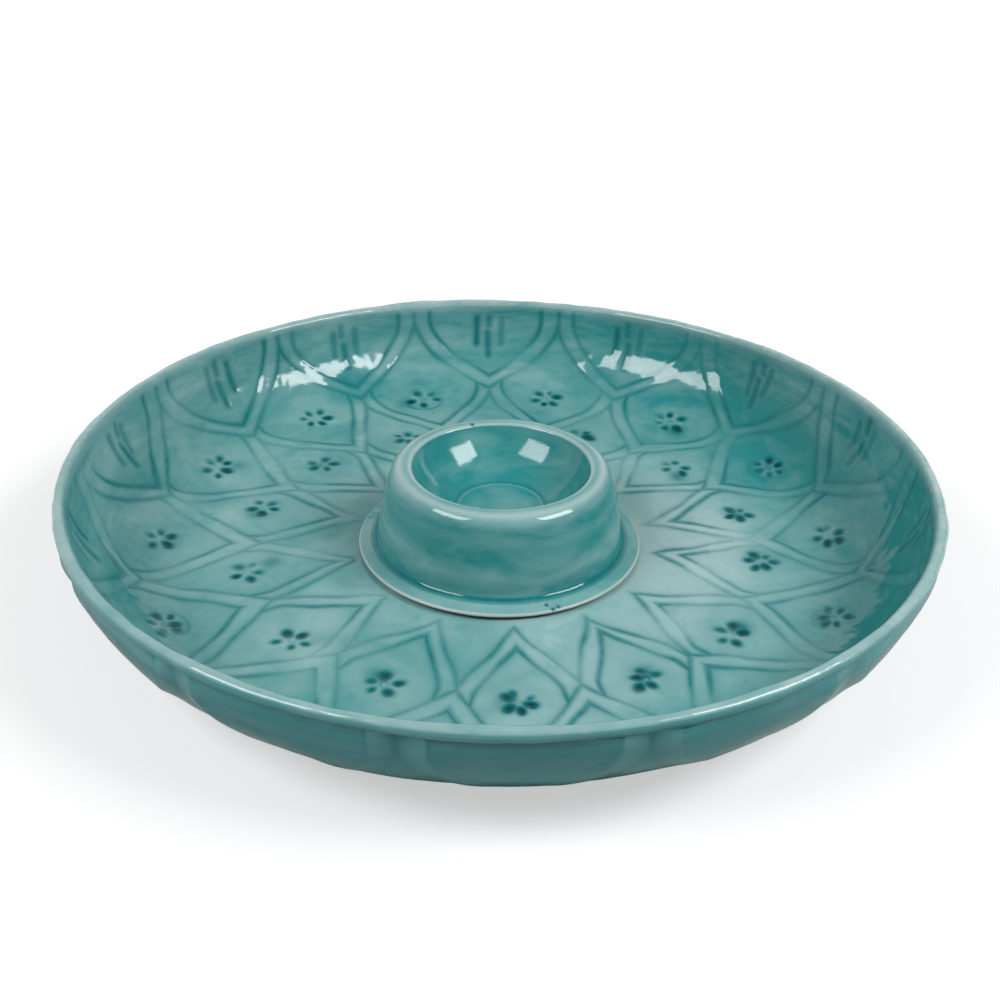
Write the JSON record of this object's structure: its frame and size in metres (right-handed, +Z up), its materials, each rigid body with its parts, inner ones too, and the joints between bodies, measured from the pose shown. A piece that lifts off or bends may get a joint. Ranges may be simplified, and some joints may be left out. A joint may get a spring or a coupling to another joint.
{
  "type": "chip and dip platter",
  "caption": "Round footed stoneware platter with a quarter-round wall, rolled rim and carved overlapping scales, and a loose flanged dip bowl standing on the middle of its floor.",
  "frame": {"origin": "on the table, under the centre of the platter's foot ring", "axes": "+Z up along the platter's axis, +X to the right and -Y towards the viewer of the picture"},
  "size_m": [0.368, 0.368, 0.056],
  "materials": {
    "platter_glaze": "glossy translucent turquoise glaze, darker where it pools in the carving",
    "bowl_glaze": "glossy translucent turquoise glaze, paler on the lip and the flange's edge"
  },
  "bodies": {
    "platter": {"platter": "platter_glaze"},
    "dip_bowl": {"dip_bowl": "bowl_glaze"}
  },
  "joints": [
    {"name": "dip_bowl_lift", "type": "slide", "parent": "platter", "child": "dip_bowl", "axis": [0, 0, 1], "range_m": [0, 0.12]}
  ]
}
